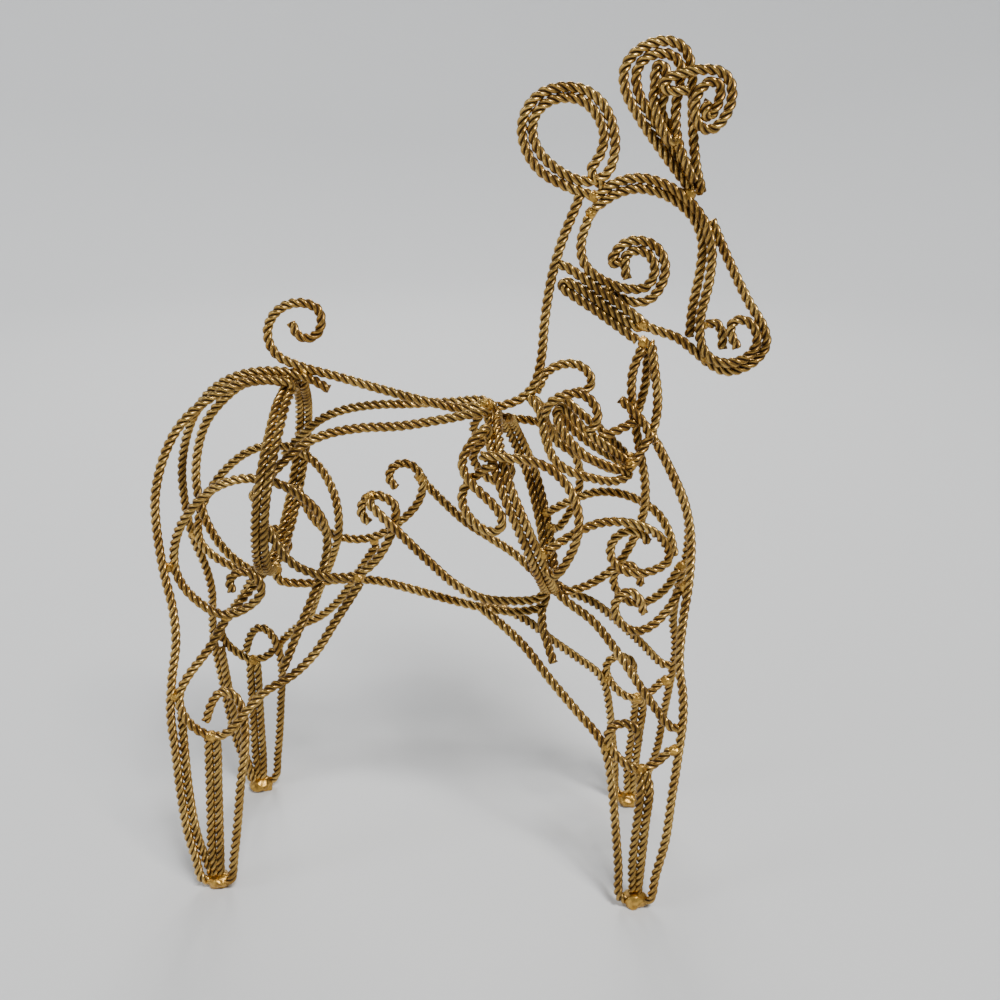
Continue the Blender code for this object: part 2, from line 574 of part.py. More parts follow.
def foot_mesh(name: str, x: float, y: float) -> bpy.types.Mesh:
    """The solder foot that one pair of wires stands in, flat underneath."""
    mesh = bpy.data.meshes.new(name)
    shape = bmesh.new()
    rings = []
    for height, share in FOOT_LEVELS:
        ring = []
        for index in range(FOOT_SIDES):
            angle = 2 * pi * index / FOOT_SIDES
            around = Vector((cos(angle), sin(angle), 0)) * FOOT_RADIUS * share
            ring.append(shape.verts.new((Vector((x, y, height * FOOT_HEIGHT)) + around) / 1000))
        rings.append(ring)
    for lower, upper in zip(rings, rings[1:]):
        for index in range(FOOT_SIDES):
            following = (index + 1) % FOOT_SIDES
            shape.faces.new((lower[index], lower[following], upper[following], upper[index]))
    shape.faces.new(rings[0][::-1])
    shape.faces.new(rings[-1])
    shape.to_mesh(mesh)
    shape.free()
    return mesh


def brass_wire_material() -> bpy.types.Material:
    """Brass-coloured metal, darkened with age."""
    material = bpy.data.materials.new("aged_brass")
    material.use_nodes = True
    shader = material.node_tree.nodes["Principled BSDF"]
    shader.inputs["Base Color"].default_value = (0.46, 0.33, 0.12, 1)
    shader.inputs["Metallic"].default_value = 1.0
    shader.inputs["Roughness"].default_value = 0.38
    return material


def laid_wires() -> tuple[Wires, list[Foot]]:
    """Every wire on its route, then settled clear of the others, and the four feet."""
    wires = Wires()
    feet = []
    pairs = (
        ("hind", -1, HIND_SHIN_TOP, HIND_SHIN_LEAN),
        ("fore", 1, FORE_SHIN_TOP, FORE_SHIN_LEAN),
    )
    for side, label, changes in ((-1, "right", {}), (1, "left", LEFT_ROUTES)):
        for name, route in (SIDE_ROUTES | changes).items():
            wires.add(f"{label}_{name}", stanced(smooth_curve(side_points(route)), side))
        for end, way, top, lean in pairs:
            name = f"{label}_{end}_shin_pair"
            own = (f"{name}_rear", f"{name}_front")
            for wire, offset in zip(own, (-SHIN_PITCH / 2, SHIN_PITCH / 2)):
                wires.add(wire, stanced(shin_curve(way * ROUTE_FOOT_X + offset, top, lean), side))
            feet.append(Foot(name, way * FOOT_X * ROUTE_SCALE, side * FOOT_SPREAD * ROUTE_SCALE, own))
    wires.add("hip_hoop", hoop_curve(HIP_HOOP))
    wires.add("shoulder_hoop", hoop_curve(SHOULDER_HOOP))
    for name, route in CENTRE_ROUTES.items():
        wires.add(name, smooth_curve([(x, left, z) for x, z, left in route]))
    wires.add("ear_loop", wound_loop(EAR_LOOP))
    wires.settle(feet)
    return wires, feet


def main() -> None:
    """Build the figure: one named object for each wire, and one for each foot with its pair."""
    for old in list(bpy.data.objects):
        bpy.data.objects.remove(old, do_unlink=True)
    collection = bpy.context.scene.collection
    figure = bpy.data.objects.new("reindeer", None)
    collection.objects.link(figure)
    material = brass_wire_material()
    wires, feet = laid_wires()
    figure.location.x = -wires.middle_x() / 1000
    objects = {}
    for name, run in zip(wires.names, wires.runs):
        objects[name] = bpy.data.objects.new(name, tube_mesh(name, run, WIRE_DIAMETER))
    for foot in feet:
        pair = bpy.data.objects.new(foot.name, foot_mesh(foot.name, foot.x, foot.y))
        objects[foot.name] = pair
        for name in foot.wires:
            objects[name].hide_render = True
            join = pair.modifiers.new(name, "BOOLEAN")
            join.operation = "UNION"
            join.object = objects[name]
    for piece in objects.values():
        piece.data.materials.append(material)
        collection.objects.link(piece)
        piece.parent = figure


main()
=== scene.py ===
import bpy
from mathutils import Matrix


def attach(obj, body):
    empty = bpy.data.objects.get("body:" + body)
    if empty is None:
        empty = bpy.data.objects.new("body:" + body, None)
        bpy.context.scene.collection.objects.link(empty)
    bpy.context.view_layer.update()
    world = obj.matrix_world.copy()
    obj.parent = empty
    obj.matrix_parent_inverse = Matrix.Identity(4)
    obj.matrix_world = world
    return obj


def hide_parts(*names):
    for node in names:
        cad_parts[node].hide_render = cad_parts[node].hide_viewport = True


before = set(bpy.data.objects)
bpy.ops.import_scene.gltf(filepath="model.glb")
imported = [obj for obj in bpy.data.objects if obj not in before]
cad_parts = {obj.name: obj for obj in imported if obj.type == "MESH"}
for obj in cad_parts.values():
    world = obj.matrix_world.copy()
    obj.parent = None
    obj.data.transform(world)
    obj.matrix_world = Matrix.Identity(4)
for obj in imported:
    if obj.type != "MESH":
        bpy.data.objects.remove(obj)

"""Metal reindeer figure: the looks.

Each wire of the frame becomes three strands twisted together, swept along the wire's own
centreline, which is read from its solid. Solder joints sit where two wires come nearest. Lengths
are in metres, with +X toward the nose and +Z up.
"""

import logging
from dataclasses import dataclass, field
from enum import Enum
from math import cos, pi, radians, sin, sqrt

import bmesh
import bpy
import numpy as np
from mathutils import Matrix, Vector, noise

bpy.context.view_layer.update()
MM = 0.001
LOG = logging.getLogger("reindeer")

SIDES = ("right", "left")
PAIR = "shin_pair"


class Slot(Enum):
    """The record's material slots."""

    BRASS = "aged_brass"


class ShaderValue:
    """A value socket whose arithmetic adds Math nodes."""

    def __init__(self, graph: "ShaderGraph", socket: bpy.types.NodeSocket) -> None:
        self.graph = graph
        self.socket = socket

    def _math(self, operation: str, first: object, second: object) -> "ShaderValue":
        node = self.graph.node("ShaderNodeMath", {"operation": operation}, {0: first, 1: second})
        return ShaderValue(self.graph, node.outputs[0])

    def __add__(self, other: object) -> "ShaderValue":
        return self._math("ADD", self, other)

    def __radd__(self, other: object) -> "ShaderValue":
        return self._math("ADD", other, self)

    def __rsub__(self, other: object) -> "ShaderValue":
        return self._math("SUBTRACT", other, self)

    def __mul__(self, other: object) -> "ShaderValue":
        return self._math("MULTIPLY", self, other)

    def limited(self) -> "ShaderValue":
        """This value held between 0 and 1."""
        node = self.graph.node("ShaderNodeClamp", {}, {"Value": self})
        return ShaderValue(self.graph, node.outputs[0])

    def stretched(self, low: float, high: float) -> "ShaderValue":
        """This value with low to high stretched over 0 to 1, held there."""
        inputs = {"Value": self, "From Min": low, "From Max": high}
        node = self.graph.node("ShaderNodeMapRange", {"clamp": True}, inputs)
        return ShaderValue(self.graph, node.outputs[0])


@dataclass(frozen=True)
class Grain:
    """Noise in the object's own space, and the part of its range that shows.

    Attributes:
        scale: Features are about 1/scale metres wide.
        detail: Layers of finer noise on top.
        roughness: How strong the finer layers are.
        low: Noise value from which it begins to show.
        high: Noise value from which it shows in full.
    """

    scale: float
    detail: float
    roughness: float
    low: float
    high: float


class ShaderGraph:
    """One material's node tree, with its Principled shader."""

    # Places of a Mix node's two colours among its inputs, and of their mix among its outputs
    FIRST_COLOUR = 6
    SECOND_COLOUR = 7
    MIXED_COLOUR = 2

    def __init__(self, name: str) -> None:
        self.material = bpy.data.materials.new(name)
        self.material.use_nodes = True
        self.tree = self.material.node_tree
        self.shader = self.tree.nodes["Principled BSDF"]

    def node(self, kind: str, settings: dict, inputs: dict) -> bpy.types.Node:
        """Add a node.

        Args:
            kind: The node's type name.
            settings: Properties, set before the sockets are.
            inputs: A value, a socket or a ShaderValue for each socket, by name or number.

        Returns:
            The new node.
        """
        made = self.tree.nodes.new(kind)
        for key, value in settings.items():
            setattr(made, key, value)
        for key, value in inputs.items():
            self.feed(made.inputs[key], value)
        return made

    def feed(self, socket: bpy.types.NodeSocket, value: object) -> None:
        """Link a socket or set its value."""
        if isinstance(value, ShaderValue):
            value = value.socket
        if isinstance(value, bpy.types.NodeSocket):
            self.tree.links.new(value, socket)
        else:
            socket.default_value = value

    def attribute(self, name: str) -> ShaderValue:
        """A number stored on the mesh."""
        node = self.node("ShaderNodeAttribute", {"attribute_name": name}, {})
        return ShaderValue(self, node.outputs["Fac"])

    def noise(self, grain: Grain) -> ShaderValue:
        """The grain's plain noise."""
        place = self.node("ShaderNodeTexCoord", {}, {})
        node = self.node("ShaderNodeTexNoise", {}, {
            "Vector": place.outputs["Object"], "Scale": grain.scale, "Detail": grain.detail,
            "Roughness": grain.roughness,
        })
        return ShaderValue(self, node.outputs["Fac"])

    def mix(self, factor: object, first: object, second: object) -> bpy.types.NodeSocket:
        """A colour between first and second."""
        node = self.node("ShaderNodeMix", {"data_type": "RGBA"}, {"Factor": factor})
        self.feed(node.inputs[self.FIRST_COLOUR], first)
        self.feed(node.inputs[self.SECOND_COLOUR], second)
        return node.outputs[self.MIXED_COLOUR]

    def bump(self, height: ShaderValue, strength: float, distance: float) -> bpy.types.NodeSocket:
        """A normal raised by height."""
        node = self.node("ShaderNodeBump", {}, {"Strength": strength, "Distance": distance, "Height": height})
        return node.outputs["Normal"]


@dataclass(frozen=True)
class TwistedBrass:
    """Worn brass coat on twisted wire: bright ridges, brown patches, and grooves darkened with painted shade.

    Attributes:
        name: The material's name.
        ridge: Colour of the bright coat.
        worn: Colour of its brown patches.
        olive: Colour of its wide darker drifts.
        groove: Colour of the painted shade in the grooves, and of the specks of dirt.
        patches: Where the brown lies.
        drift: Where the olive lies.
        speckle: Where the specks of dirt lie.
        olive_share: Strength of the olive.
        speckle_share: Strength of the specks.
        groove_low: Depth in the groove from which painted shade begins.
        groove_high: Depth in the groove from which all is painted shade.
        groove_gloss: Specular level.
        groove_metal_loss: How much less metallic the painted shade in the grooves and the specks are.
        groove_roughness: How much rougher the painted shade in the grooves and the specks are.
        ridge_roughness: Roughness of the clean coat.
        speckle_roughness: Roughness added by the speckle noise.
        bump_strength: Strength of the fine bump.
        bump_height: Height of the fine bump.
    """

    name: str = "twisted_brass"
    ridge: tuple = (0.68, 0.44, 0.13, 1)
    worn: tuple = (0.38, 0.21, 0.05, 1)
    olive: tuple = (0.17, 0.095, 0.022, 1)
    groove: tuple = (0.026, 0.009, 0.002, 1)
    patches: Grain = Grain(55.0, 4.0, 0.6, 0.38, 0.62)
    drift: Grain = Grain(19.25, 2.0, 0.5, 0.50, 0.72)
    speckle: Grain = Grain(900.0, 3.0, 0.65, 0.56, 0.75)
    olive_share: float = 0.75
    speckle_share: float = 0.35
    groove_low: float = 0.25
    groove_high: float = 0.80
    groove_gloss: float = 0.2
    groove_metal_loss: float = 0.75
    groove_roughness: float = 0.45
    ridge_roughness: float = 0.20
    speckle_roughness: float = 0.10
    bump_strength: float = 0.25
    bump_height: float = 0.2 * MM

    def material(self) -> bpy.types.Material:
        """The finish as a material."""
        graph = ShaderGraph(self.name)
        shader = graph.shader.inputs
        depth = graph.attribute("groove")
        patches = graph.noise(self.patches)
        drift = graph.noise(self.drift)
        speckle = graph.noise(self.speckle)
        coat = graph.mix(patches.stretched(self.patches.low, self.patches.high), self.ridge, self.worn)
        olive = drift.stretched(self.drift.low, self.drift.high) * self.olive_share
        coat = graph.mix(olive, coat, self.olive)
        specks = speckle.stretched(self.speckle.low, self.speckle.high) * self.speckle_share
        # Painted shade that deepens into the grooves between strands, together with real specks of dirt
        groove_shade_and_specks = (depth.stretched(self.groove_low, self.groove_high) + specks).limited()
        roughness = self.ridge_roughness + groove_shade_and_specks * self.groove_roughness + speckle * self.speckle_roughness
        # The coat turns to the groove colour: painted shade in the grooves, dirt at the specks
        graph.feed(shader["Base Color"], graph.mix(groove_shade_and_specks, coat, self.groove))
        graph.feed(shader["Metallic"], 1.0 - groove_shade_and_specks * self.groove_metal_loss)
        shader["Specular IOR Level"].default_value = self.groove_gloss
        graph.feed(shader["Roughness"], roughness)
        graph.feed(shader["Normal"], graph.bump(speckle, self.bump_strength, self.bump_height))
        return graph.material


@dataclass(frozen=True)
class BrightSolder:
    """Yellow solder, brighter than the wire, with brown flux in its hollows.

    Attributes:
        name: The material's name.
        bright: Colour of the clean solder.
        dull: Colour of its duller patches.
        flux: Colour of the flux.
        lumps: Where the duller patches lie.
        pores: Where the flux lies.
        flux_share: Strength of the flux.
        least_roughness: Roughness without the lumps' share.
        lump_roughness: Roughness added by the lumps' noise.
        bump_strength: Strength of the bump of the pores.
        bump_height: Height of that bump.
    """

    name: str = "bright_solder"
    bright: tuple = (0.64, 0.38, 0.085, 1)
    dull: tuple = (0.28, 0.15, 0.035, 1)
    flux: tuple = (0.06, 0.03, 0.012, 1)
    lumps: Grain = Grain(300.0, 3.0, 0.6, 0.40, 0.66)
    pores: Grain = Grain(1400.0, 3.0, 0.6, 0.60, 0.74)
    flux_share: float = 0.6
    least_roughness: float = 0.22
    lump_roughness: float = 0.25
    bump_strength: float = 0.35
    bump_height: float = 0.3 * MM

    def material(self) -> bpy.types.Material:
        """The finish as a material."""
        graph = ShaderGraph(self.name)
        shader = graph.shader.inputs
        lumps = graph.noise(self.lumps)
        pores = graph.noise(self.pores)
        colour = graph.mix(lumps.stretched(self.lumps.low, self.lumps.high), self.bright, self.dull)
        flux = pores.stretched(self.pores.low, self.pores.high) * self.flux_share
        graph.feed(shader["Base Color"], graph.mix(flux, colour, self.flux))
        shader["Metallic"].default_value = 1.0
        graph.feed(shader["Roughness"], self.least_roughness + lumps * self.lump_roughness)
        graph.feed(shader["Normal"], graph.bump(pores, self.bump_strength, self.bump_height))
        return graph.material


@dataclass(frozen=True)
class PaleFloor:
    """The plain pale floor."""

    name: str = "pale_floor"
    colour: tuple = (0.70, 0.71, 0.72, 1)
    roughness: float = 0.8

    def material(self) -> bpy.types.Material:
        """The finish as a material."""
        graph = ShaderGraph(self.name)
        graph.shader.inputs["Base Color"].default_value = self.colour
        graph.shader.inputs["Roughness"].default_value = self.roughness
        return graph.material


@dataclass(frozen=True)
class Twist:
    """Section of the twisted wire.

    Attributes:
        diameter: Over the outside of the strands.
        strands: How many strands are twisted together.
        pitch: Length of one full turn.
        points: Section points on each strand's outside.
        cover: Share of that outside that the points span.
        fade: How late a strand darkens with painted shade on its way down into the groove.
        step: Length between sections.
    """

    diameter: float = 4.8 * MM
    strands: int = 3
    pitch: float = 11.6 * MM
    points: int = 7
    cover: float = 0.93
    fade: float = 1.3
    step: float = 0.8 * MM

    def strand_radius(self) -> float:
        """Radius of one strand, from how many touch each other in a ring."""
        spread = 1 / sin(pi / self.strands)
        return self.diameter / 2 / (1 + spread)

    def section(self) -> tuple[np.ndarray, np.ndarray]:
        """Outline of all strands in their plane, and each point's depth in the groove from 0 to 1."""
        radius = self.strand_radius()
        reach = self.diameter / 2 - radius
        widest = pi / 2 + pi / self.strands
        outline, depth = [], []
        for strand in range(self.strands):
            middle = 2 * pi * strand / self.strands
            for index in range(self.points):
                share = 2 * (index + 0.5) / self.points - 1
                angle = middle + share * widest * self.cover
                outline.append((
                    reach * cos(middle) + radius * cos(angle),
                    reach * sin(middle) + radius * sin(angle),
                ))
                # The depth in the groove sets how much painted shade this point gets
                depth.append(abs(share) ** self.fade)
        return np.array(outline), np.array(depth)


class SolidWire:
    """A wire's centreline, read from the solid that the frame holds for it.

    The solid is a tube with six corners in each ring. Its flat ends are the only groups of faces in
    one plane that have six corners at the tube's radius from their middle.
    """

    CORNERS = 6
    RADIUS = 1.9 * MM
    RADIUS_SLACK = 0.1 * MM
    ROUND_SLACK = 0.03 * MM
    LEAST_COSINE = 0.9999
    LEAST_CROSS = 1e-12
    WELD_DIGITS = 6
    TRIANGLE_EDGES = ((0, 1), (1, 2), (2, 0))

    def __init__(self, name: str) -> None:
        self.places, self.neighbours, self.faces = self._welded(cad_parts[name])

    @staticmethod
    def _welded(solid: bpy.types.Object) -> tuple[np.ndarray, list[set], np.ndarray]:
        """The solid's corners without repeats, each one's neighbours, and its triangles."""
        mesh = solid.data
        mesh.calc_loop_triangles()
        raw = np.array([vertex.co for vertex in mesh.vertices])
        rounded = np.round(raw, SolidWire.WELD_DIGITS)
        keys, first, index = np.unique(rounded, axis=0, return_index=True, return_inverse=True)
        triangles = index.reshape(-1)[np.array([tuple(t.vertices) for t in mesh.loop_triangles])]
        neighbours = [set() for _ in keys]
        for corners in triangles:
            for a, b in SolidWire.TRIANGLE_EDGES:
                neighbours[corners[a]].add(corners[b])
                neighbours[corners[b]].add(corners[a])
        return raw[first], neighbours, triangles

    def ends(self) -> list[frozenset]:
        """The corners of each flat end."""
        corners = self.places[self.faces]
        normals = np.cross(corners[:, 1] - corners[:, 0], corners[:, 2] - corners[:, 0])
        size = np.linalg.norm(normals, axis=1)
        usable = size > self.LEAST_CROSS
        normals = normals / np.maximum(size, self.LEAST_CROSS)[:, None]
        shared: dict[tuple, list[int]] = {}
        for number, face in enumerate(self.faces):
            if usable[number]:
                for a, b in self.TRIANGLE_EDGES:
                    shared.setdefault(tuple(sorted((face[a], face[b]))), []).append(number)
        group = list(range(len(self.faces)))

        def root(number: int) -> int:
            while group[number] != number:
                number = group[number]
            return number

        for pair in shared.values():
            if len(pair) == 2 and normals[pair[0]] @ normals[pair[1]] > self.LEAST_COSINE:
                group[root(pair[0])] = root(pair[1])
        sets: dict[int, set] = {}
        for number in range(len(self.faces)):
            if usable[number]:
                sets.setdefault(root(number), set()).update(int(corner) for corner in self.faces[number])
        found = []
        for members in sets.values():
            if len(members) == self.CORNERS:
                around = self.places[list(members)]
                reach = np.linalg.norm(around - around.mean(0), axis=1)
                is_round = reach.max() - reach.min() < self.ROUND_SLACK
                if is_round and abs(reach.mean() - self.RADIUS) < self.RADIUS_SLACK:
                    found.append(frozenset(members))
        return found

    def path_from(self, end: frozenset) -> np.ndarray:
        """Middles of the rings from one flat end, as far as the wire stays a plain tube."""
        seen = set(end)
        ring = set(end)
        middles = []
        while len(ring) == self.CORNERS:
            middles.append(self.places[list(ring)].mean(0))
            ring = {other for corner in ring for other in self.neighbours[corner]} - seen
            seen |= ring
        return np.array(middles)


# Points on each span of a curve before they are made even, and the fewest points of an even path
SPAN_POINTS = 24
LEAST_POINTS = 3


def smooth_path(middles: np.ndarray, step: float) -> np.ndarray:
    """Even points along the centripetal Catmull-Rom curve through the given ones."""
    knots = [2 * middles[0] - middles[1], *middles, 2 * middles[-1] - middles[-2]]
    fine = []
    for before, start, end, after in zip(knots, knots[1:], knots[2:], knots[3:]):
        spans = ((before, start), (start, end), (end, after))
        g0, g1, g2 = (sqrt(float(np.linalg.norm(b - a))) for a, b in spans)
        leave = ((start - before) / g0 - (end - before) / (g0 + g1) + (end - start) / g1) * g1
        arrive = ((end - start) / g1 - (after - start) / (g1 + g2) + (after - end) / g2) * g1
        t = np.linspace(0, 1, SPAN_POINTS, endpoint=False)[:, None]
        fine.append((2 * t**3 - 3 * t**2 + 1) * start + (t**3 - 2 * t**2 + t) * leave
                    + (3 * t**2 - 2 * t**3) * end + (t**3 - t**2) * arrive)
    fine.append(middles[-1:])
    points = np.vstack(fine)
    along = np.concatenate([[0], np.cumsum(np.linalg.norm(np.diff(points, axis=0), axis=1))])
    marks = np.linspace(0, along[-1], max(LEAST_POINTS, int(along[-1] / step) + 1))
    return np.column_stack([np.interp(marks, along, points[:, axis]) for axis in range(3)])


@dataclass
class TwistedWire:
    """One wire's visible mesh: twisted strands swept along its path.

    Attributes:
        name: The piece's name.
        paths: One path for each free length, already smooth and even.
        twist: The section.
        phase: Turn of the strands at the start, in radians.
        tip_height: How far the middle of a cut end stands out.
        tip_depth: Groove number of that middle.
        hint: Direction that no wire starts along, from which the first section is turned.
    """

    name: str
    paths: list[np.ndarray]
    twist: Twist = field(default_factory=Twist)
    phase: float = 0.0
    tip_height: float = 0.25 * MM
    tip_depth: float = 0.2
    hint: tuple = (0.3, 0.9, 0.2)

    def mesh(self) -> bpy.types.Mesh:
        """The strands as one mesh with a groove number on each corner."""
        outline, depth = self.twist.section()
        count = len(outline)
        corners, faces, grooves = [], [], []
        base = 0
        for path in self.paths:
            rings = self._rings(path, outline)
            corners.append(rings.reshape(-1, 3))
            grooves.append(np.tile(depth, len(path)))
            start = np.arange(len(path) - 1)[:, None] * count
            here = np.arange(count)[None]
            following = (here + 1) % count
            ahead = start + count
            quads = np.stack([start + here, start + following, ahead + following, ahead + here], -1)
            faces += (quads.reshape(-1, 4) + base).tolist()
            tips = base + len(path) * count
            corners.append(self._tips(path))
            grooves.append(np.array([self.tip_depth, self.tip_depth]))
            last = base + (len(path) - 1) * count
            for index in range(count):
                other = (index + 1) % count
                faces.append((base + other, base + index, tips))
                faces.append((last + index, last + other, tips + 1))
            base = tips + 2
        mesh = bpy.data.meshes.new(self.name)
        mesh.from_pydata(np.vstack(corners).tolist(), [], faces)
        # The groove number drives the painted shade in the grooves between strands
        mesh.attributes.new("groove", "FLOAT", "POINT").data.foreach_set("value", np.concatenate(grooves))
        mesh.shade_smooth()
        mesh.update()
        return mesh

    def _rings(self, path: np.ndarray, outline: np.ndarray) -> np.ndarray:
        """The section at each point of the path, turned by the twist."""
        tangents = np.gradient(path, axis=0)
        tangents /= np.linalg.norm(tangents, axis=1)[:, None]
        side = np.cross(tangents[0], self.hint)
        sides = []
        for tangent in tangents:
            side = side - tangent * (side @ tangent)
            side /= np.linalg.norm(side)
            sides.append(side)
        sides = np.array(sides)
        ups = np.cross(tangents, sides)
        along = np.concatenate([[0], np.cumsum(np.linalg.norm(np.diff(path, axis=0), axis=1))])
        turn = self.phase + 2 * pi * along / self.twist.pitch
        across = outline[:, 0][None] * np.cos(turn)[:, None] - outline[:, 1][None] * np.sin(turn)[:, None]
        over = outline[:, 0][None] * np.sin(turn)[:, None] + outline[:, 1][None] * np.cos(turn)[:, None]
        return path[:, None] + across[..., None] * sides[:, None] + over[..., None] * ups[:, None]

    def _tips(self, path: np.ndarray) -> np.ndarray:
        """The slightly proud middle of each cut end."""
        first = path[0] - path[1]
        last = path[-1] - path[-2]
        return np.array([
            path[0] + first / np.linalg.norm(first) * self.tip_height,
            path[-1] + last / np.linalg.norm(last) * self.tip_height,
        ])


@dataclass
class SolderJoint:
    """A lump of solder where wires meet.

    Attributes:
        name: The piece's name.
        place: Its middle.
        size: Half-lengths along x, y and z.
        seed: Makes its lumps its own.
        flat: Height of a flat underside, if it has one.
        subdivisions: How finely its surface is divided.
        layers: Scale and height of each layer of unevenness, as shares of its size.
        seed_step: How far apart in that unevenness two joints with following seeds lie.
    """

    name: str
    place: np.ndarray
    size: tuple[float, float, float]
    seed: int
    flat: float | None = None
    subdivisions: int = 4
    layers: tuple = ((1.6, 0.28), (4.2, 0.10))
    seed_step: tuple = (3.7, 1.9, 0.7)

    def mesh(self) -> bpy.types.Mesh:
        """An uneven rounded lump."""
        shape = bmesh.new()
        bmesh.ops.create_icosphere(shape, subdivisions=self.subdivisions, radius=1.0)
        shift = Vector(self.seed * step for step in self.seed_step)
        for vertex in shape.verts:
            ray = vertex.co.normalized()
            lump = sum(noise.noise(ray * scale + shift) * height for scale, height in self.layers)
            place = Vector(self.place) + Vector(ray[i] * self.size[i] * (1 + lump) for i in range(3))
            if self.flat is not None:
                place.z = max(place.z, self.flat)
            vertex.co = place
        mesh = bpy.data.meshes.new(self.name)
        shape.to_mesh(mesh)
        shape.free()
        mesh.shade_smooth()
        return mesh


def placed(name: str, data: bpy.types.ID) -> bpy.types.Object:
    """A new object in the scene."""
    made = bpy.data.objects.new(name, data)
    bpy.context.scene.collection.objects.link(made)
    return made


def add_piece(name: str, mesh: bpy.types.Mesh, material: bpy.types.Material) -> bpy.types.Object:
    """Put a piece in the scene and let it move with the figure."""
    mesh.materials.append(material)
    piece = placed(name, mesh)
    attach(piece, "root")
    return piece


def nearest_place(first: np.ndarray, second: np.ndarray) -> np.ndarray:
    """Midpoint between two paths where they come nearest."""
    gaps = np.linalg.norm(first[:, None] - second[None], axis=2)
    a, b = np.unravel_index(gaps.argmin(), gaps.shape)
    return (first[a] + second[b]) / 2


# Solder joints of one side: joint, first wire, second wire, half-size in millimetres
SIDE_JOINTS = (
    ("stifle_joint", "haunch_scroll", "stifle_wire", 2.9),
    ("hock_joint", "hock_wire", "stifle_wire", 2.5),
    ("heel_joint", "rump_wire", "stifle_wire", 2.5),
    ("ring_joint", "rump_wire", "haunch_scroll", 2.4),
    ("shin_joint", "hind_shin_pair", "stifle_wire", 3.0),
    ("belly_joint", "belly_scroll", "stifle_wire", 2.5),
    ("brace_joint", "belly_scroll", "flank_brace", 2.7),
    ("knee_rear_joint", "foreleg_wire", "knee_scroll", 2.4),
    ("knee_front_joint", "breast_wire", "knee_scroll", 3.0),
    ("fore_shin_joint", "fore_shin_pair", "knee_scroll", 2.9),
    ("chest_joint", "breast_wire", "chest_curl", 2.8),
    ("bow_joint", "shoulder_bow", "shoulder_hoop", 2.4),
    ("scroll_joint", "shoulder_scroll", "shoulder_hoop", 2.3),
    ("breast_joint", "breast_scroll", "shoulder_hoop", 2.4),
    ("collar_joint", "collar_wire", "neck_front", 2.7),
)

# Solder joints in the middle plane, written the same way
CENTRE_JOINTS = (
    ("hip_top_joint", "hip_hoop", "rump_inner_wire", 3.0),
    ("hind_hub_joint", "hip_hoop", "belly_line", 3.3),
    ("withers_joint", "shoulder_hoop", "tail_wire", 3.4),
    ("front_hub_joint", "shoulder_hoop", "belly_line", 3.5),
    ("jaw_joint", "jaw_wire", "throat_wire", 3.0),
    ("throat_joint", "neck_front", "throat_wire", 2.7),
    ("poll_joint", "eye_scroll", "face_wire_lower", 2.5),
    ("ear_joint", "ear_loop", "face_wire_upper", 2.5),
    ("antler_joint", "antler_loop", "face_wire_upper", 2.9),
    ("antler_cross_joint", "antler_side", "antler_post", 2.7),
    ("post_joint", "antler_post", "antler_loop", 2.4),
    ("brow_joint", "jaw_wire", "face_wire_upper", 2.2),
    ("muzzle_joint", "nostril_scroll", "face_wire_upper", 2.0),
    ("tail_joint", "tail_wire", "rump_top_wire", 2.2),
)

# Wires of one side that end in a foot: wire, and the pair that stands in the same foot
LEG_WIRES = {
    "rump_wire": "hind_shin_pair",
    "hock_wire": "hind_shin_pair",
    "heel_wire": "hind_shin_pair",
    "foreleg_wire": "fore_shin_pair",
    "breast_wire": "fore_shin_pair",
}

# Wires of one side whose near ends run on to touch another wire: wire, and the wire touched
SIDE_REACHES = (
    ("rump_wire", "hip_hoop"),
    ("stifle_wire", "hip_hoop"),
    ("flank_brace", "belly_scroll"),
    ("flank_brace", "shoulder_hoop"),
    ("back_side_wire", "hip_hoop"),
    ("back_side_wire", "shoulder_hoop"),
    ("shoulder_brace", "shoulder_hoop"),
    ("shoulder_brace", "breast_wire"),
    ("shoulder_scroll", "shoulder_hoop"),
    ("shoulder_bow", "shoulder_hoop"),
    ("mane_curl", "neck_back"),
    ("collar_wire", "neck_back"),
    ("collar_wire", "neck_front"),
    ("hind_shin_pair", "stifle_wire"),
    ("fore_shin_pair", "knee_scroll"),
)

# Wires in the middle plane that do, written the same way
CENTRE_REACHES = (
    ("hip_hoop", "rump_top_wire"),
    ("shoulder_hoop", "tail_wire"),
    ("tail_wire", "neck_back"),
    ("belly_line", "hip_hoop"),
    ("belly_line", "shoulder_hoop"),
    ("rump_inner_wire", "hip_hoop"),
    ("neck_back", "tail_wire"),
    ("neck_back", "ear_loop"),
    ("throat_wire", "neck_back"),
    ("jaw_wire", "throat_wire"),
    ("cheek_wire", "throat_wire"),
    ("cheek_wire", "eye_scroll"),
    ("antler_post", "antler_loop"),
    ("ear_loop", "face_wire_upper"),
)

# Short wires that cross between two others, as x, y, z in millimetres
SHORT_WIRES = {
    "collar_strap": [(66.9, -8.5, 230), (74.9, -6.5, 233), (82.5, -4.5, 236.5)],
    "chest_tip_wire": [(75.5, -4, 247), (81, -4.4, 242), (86.5, -4.8, 236), (90, -5, 229.5)],
    "elbow_wire": [(41.5, -4, 141), (42, -8, 134), (44.9, -13, 126), (47.9, -17, 118.5)],
}


